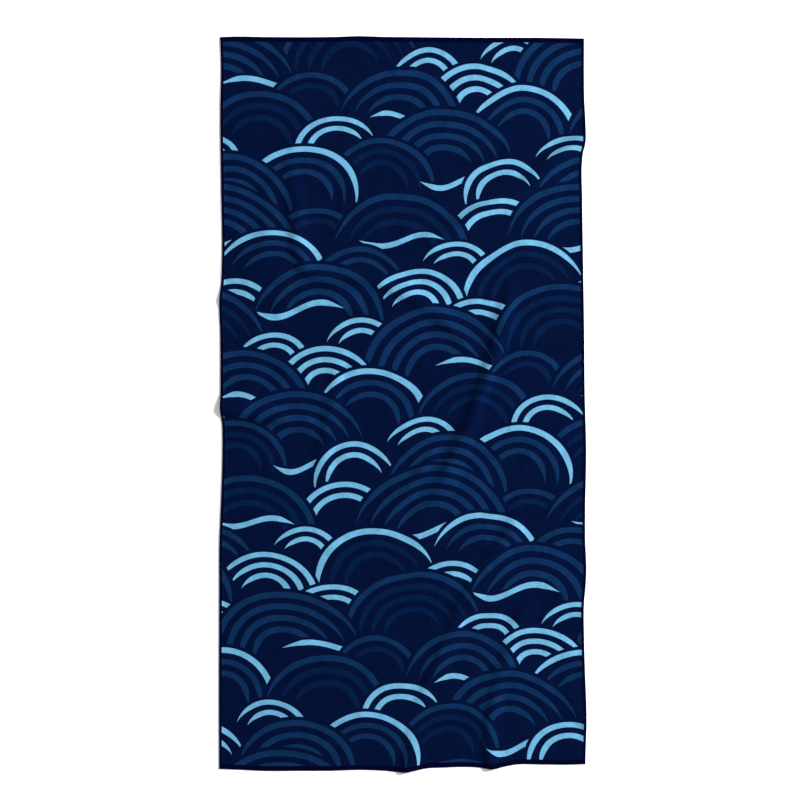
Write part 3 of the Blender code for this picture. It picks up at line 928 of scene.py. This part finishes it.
# %% [markdown]
# ## The stitches
# A hem is held by one row of lockstitch, close to its inner line. Some sixteen hundred stitches are the
# same short arch of thread, so Geometry Nodes make them: a path is measured off in stitches, and an arch is
# set on each point and turned along the path. They could be drawn in the material, but real stitches catch
# the light and sink into the cloth. The result is turned into a plain mesh, since the modifier isn't
# exported.

# %% The path that the needle takes
def seam_path(name):
    """Makes a mesh of edges that runs round the towel where the stitches are, on the face."""
    columns = [int(np.argmin(abs(across - at))) for at in (SIDE_SEAM, CUT_WIDTH - SIDE_SEAM)]
    rows = [int(np.argmin(abs(along - at))) for at in (END_SEAM, CUT_LENGTH - END_SEAM)]
    bottom = [(rows[0], column) for column in range(columns[0], columns[1])]
    right = [(row, columns[1]) for row in range(rows[0], rows[1])]
    top = [(rows[1], column) for column in range(columns[1], columns[0], -1)]
    left = [(row, columns[0]) for row in range(rows[1], rows[0], -1)]
    loop = np.array(bottom + right + top + left)
    place = np.stack([x - middle[0], y - middle[1], face_z], axis=2)[loop[:, 0], loop[:, 1]] / 1000
    mesh = bpy.data.meshes.new(name)
    mesh.from_pydata(place.tolist(), [(i, (i + 1) % len(loop)) for i in range(len(loop))], [])
    seam = bpy.data.objects.new(name, mesh)
    bpy.context.scene.collection.objects.link(seam)
    return seam


seam = seam_path("seam_path")
print("points along the seam:", len(seam.data.vertices))

# %% The stitch tree
ARCH_STEPS, THREAD_SIDES = 4, 6
FACES_IN_STITCH = ARCH_STEPS * THREAD_SIDES + 2


def stitch_tree(name, material):
    """Builds the tree that sets one arch of thread on every point along a path."""
    tree = bpy.data.node_groups.new(name, "GeometryNodeTree")
    tree.interface.new_socket(name="Path", in_out="INPUT", socket_type="NodeSocketGeometry")
    for size in ("Pitch", "Length", "Thread radius", "Rise", "Sink"):
        tree.interface.new_socket(name=size, in_out="INPUT", socket_type="NodeSocketFloat")
    tree.interface.new_socket(name="Stitches", in_out="OUTPUT", socket_type="NodeSocketGeometry")
    given = tree.nodes.new("NodeGroupInput").outputs
    ahead, behind = (maths(tree, "MULTIPLY", given["Length"], share) for share in (0.5, -0.5))
    start = add(tree, "ShaderNodeCombineXYZ", {"X": behind, "Z": given["Sink"]}).outputs[0]
    end = add(tree, "ShaderNodeCombineXYZ", {"X": ahead, "Z": given["Sink"]}).outputs[0]
    top = add(tree, "ShaderNodeCombineXYZ", {"Z": given["Rise"]}).outputs[0]
    feeds = {"Resolution": ARCH_STEPS, "Start": start, "Middle": top, "End": end}
    arch = add(tree, "GeometryNodeCurveQuadraticBezier", feeds).outputs[0]
    feeds = {"Resolution": THREAD_SIDES, "Radius": given["Thread radius"]}
    ring = add(tree, "GeometryNodeCurvePrimitiveCircle", feeds).outputs[0]
    feeds = {"Curve": arch, "Profile Curve": ring, "Fill Caps": True}
    thread = add(tree, "GeometryNodeCurveToMesh", feeds).outputs[0]
    path = add(tree, "GeometryNodeMeshToCurve", {"Mesh": given["Path"]}).outputs[0]
    even = add(tree, "GeometryNodeCurveToPoints", {"Curve": path, "Length": given["Pitch"]}, mode="LENGTH")
    turn = add(tree, "FunctionNodeAlignRotationToVector", {"Vector": even.outputs["Tangent"]}, axis="X")
    feeds = {"Points": even.outputs["Points"], "Instance": thread, "Rotation": turn.outputs[0]}
    placed = add(tree, "GeometryNodeInstanceOnPoints", feeds).outputs[0]
    real = add(tree, "GeometryNodeRealizeInstances", {0: placed}).outputs[0]
    round_off = add(tree, "GeometryNodeSetShadeSmooth", {0: real}).outputs[0]
    feeds = {"Geometry": round_off, "Material": material}
    finished = add(tree, "GeometryNodeSetMaterial", feeds).outputs[0]
    feed(tree, tree.nodes.new("NodeGroupOutput").inputs[0], finished)
    return tree


def made_by_nodes(path, tree, sizes, name):
    """Runs a tree on a path and returns its result as a plain mesh object. The path is removed."""
    modifier = path.modifiers.new("stitches", "NODES")
    modifier.node_group = tree
    for item in tree.interface.items_tree:
        if item.in_out == "INPUT" and item.name in sizes:
            modifier[item.identifier] = sizes[item.name]
    evaluated = path.evaluated_get(bpy.context.evaluated_depsgraph_get())
    mesh = bpy.data.meshes.new_from_object(evaluated)
    mesh.name = name
    bpy.data.objects.remove(path)
    made = bpy.data.objects.new(name, mesh)
    bpy.context.scene.collection.objects.link(made)
    return made


print("faces in a stitch:", FACES_IN_STITCH)

# %% Sew the hems
THREAD_ROUGHNESS = 0.6

thread_material = bpy.data.materials.new("sewing thread")
thread_material.use_nodes = True
tree = thread_material.node_tree
shader = tree.nodes["Principled BSDF"]
shader.inputs["Specular IOR Level"].default_value = 0.05
shader.inputs["Specular Tint"].default_value = NAVY_SHEEN
shader.inputs["Sheen Weight"].default_value = 0.03
shader.inputs["Sheen Tint"].default_value = NAVY_SHEEN
place = add(tree, "ShaderNodeTexCoord").outputs["Object"]
nap = use_group(tree, nap_group, {"Place": place, "Fibre": 0.0004, "Patch": 0.006, "Unevenness": 0.25})
bump = add(tree, "ShaderNodeBump", {"Height": nap["Height"], "Strength": 1.0, "Distance": 0.00006})
feed(tree, shader.inputs["Normal"], bump.outputs[0])
rough = maths(tree, "MULTIPLY", nap["Shade"], THREAD_ROUGHNESS, clamp=True)
feed(tree, shader.inputs["Roughness"], rough)
feed(tree, shader.inputs["Base Color"], shaded(tree, THREAD_DYE, nap))

STITCH_SIZES = {
    "Pitch": 0.003,
    "Length": 0.0025,
    "Thread radius": 0.00024,
    "Rise": 0.0006,
    "Sink": -0.00022,
}
stitches = made_by_nodes(seam, stitch_tree("lockstitch row", thread_material), STITCH_SIZES, "hem_stitches")
print("stitches:", len(stitches.data.polygons) // FACES_IN_STITCH, "faces:", len(stitches.data.polygons))

# %% [markdown]
# ## The studio
# The towel lies on a plain white floor and is seen from straight above. One large soft lamp stands low on
# its upper right, and does the modelling: its light skims the cloth, so each ridge has a bright flank and
# a dark one. The pale surroundings fill the shadows in.

# %% The floor
def make_floor(name, half_width):
    """A plain white floor under the towel."""
    mesh = bpy.data.meshes.new(name)
    corners = [(-half_width, -half_width, 0), (half_width, -half_width, 0), (half_width, half_width, 0)]
    mesh.from_pydata([*corners, (-half_width, half_width, 0)], [], [(0, 1, 2, 3)])
    material = bpy.data.materials.new("white floor")
    material.use_nodes = True
    shader = material.node_tree.nodes["Principled BSDF"]
    shader.inputs["Base Color"].default_value = (0.95, 0.95, 0.95, 1.0)
    shader.inputs["Roughness"].default_value = 0.9
    shader.inputs["Specular IOR Level"].default_value = 0.1
    mesh.materials.append(material)
    floor = bpy.data.objects.new(name, mesh)
    bpy.context.scene.collection.objects.link(floor)
    return floor


floor = make_floor("floor", half_width=30.0)
print("floor, m across:", floor.dimensions.x)

# %% The light
def make_lamp(name, place, size, watts):
    """A soft square lamp that faces the towel's middle."""
    light = bpy.data.lights.new(name, "AREA")
    light.shape = "SQUARE"
    light.size = size
    light.energy = watts
    lamp = bpy.data.objects.new(name, light)
    lamp.location = place
    lamp.rotation_mode = "QUATERNION"
    lamp.rotation_quaternion = lamp.location.to_track_quat("Z", "Y")
    lamp.visible_camera = False
    bpy.context.scene.collection.objects.link(lamp)
    return lamp


def make_world(name, brightness):
    """Pale surroundings."""
    world = bpy.data.worlds.new(name)
    world.use_nodes = True
    background = world.node_tree.nodes["Background"]
    background.inputs["Color"].default_value = (1.0, 1.0, 1.0, 1.0)
    background.inputs["Strength"].default_value = brightness
    bpy.context.scene.world = world


lamp = make_lamp("key_lamp", place=(6.58, 2.39, 3.26), size=1.65, watts=1745.0)
make_world("pale_studio", brightness=0.55)
print("lamp's distance, m:", round(lamp.location.length, 2))

# %% The camera
def make_camera(name, place, lens):
    """A camera that looks straight down with the towel's length upright."""
    camera = bpy.data.objects.new(name, bpy.data.cameras.new(name))
    camera.data.lens = lens
    camera.data.sensor_width = 36.0
    camera.location = place
    bpy.context.scene.collection.objects.link(camera)
    bpy.context.scene.camera = camera


make_camera("photo_camera", place=(-0.0061, 0.0091, 4.137), lens=85.0)
bpy.context.scene.view_settings.view_transform = "Standard"
print("camera's height, m:", round(bpy.context.scene.camera.location.z, 3))

# %% [markdown]
# ## The towel's body
# The sheet takes the place of the imported solid, which stays as the shape that things collide with. Both
# pieces move with the towel's one body.

# %% Attach each piece to the towel's body
for piece, finish in ((towel, "printed_microfibre"), (stitches, "hem_thread")):
    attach(piece, "root")
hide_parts("towel_cloth")
